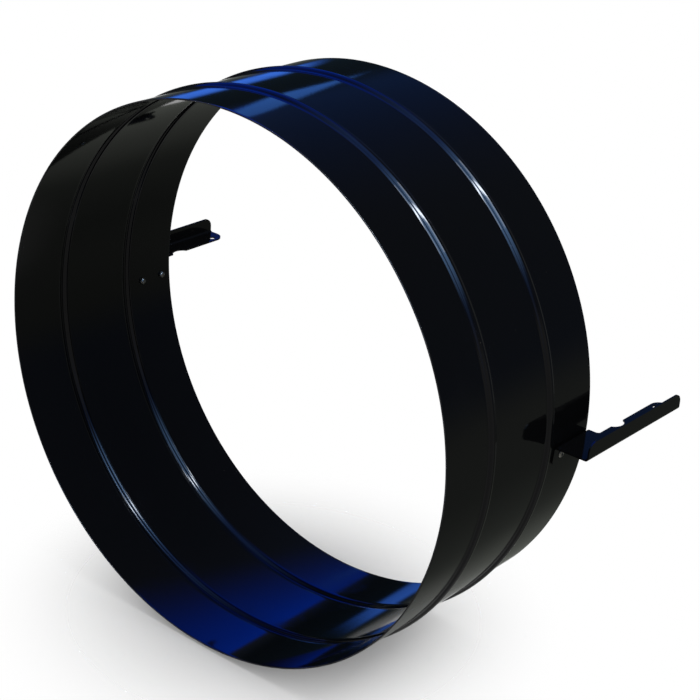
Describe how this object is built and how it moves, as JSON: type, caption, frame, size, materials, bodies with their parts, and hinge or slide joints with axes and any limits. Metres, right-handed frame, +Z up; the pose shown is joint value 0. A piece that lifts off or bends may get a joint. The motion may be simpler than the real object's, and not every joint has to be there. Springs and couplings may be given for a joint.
{
  "type": "duct adapter",
  "caption": "Round beaded sheet-steel duct adapter ring with riveted side brackets whose arms screw to an outlet; a flexible duct clamps over its plain front collar.",
  "frame": {"origin": "centre of the ring's front rim, where the duct goes on", "axes": "Y along the ring's axis, from the open front rim at 0 to the bracket arms at +Y; X across, through the brackets; Z up"},
  "size_m": [0.577, 0.2983, 0.5138],
  "materials": {
    "ring_paint": "gloss black paint",
    "bracket_paint": "gloss black paint",
    "rivet_metal": "dull, as set"
  },
  "bodies": {
    "root": {"duct_ring": "ring_paint", "bracket_right": "bracket_paint", "bracket_left": "bracket_paint", "rivets": "rivet_metal"}
  },
  "joints": []
}
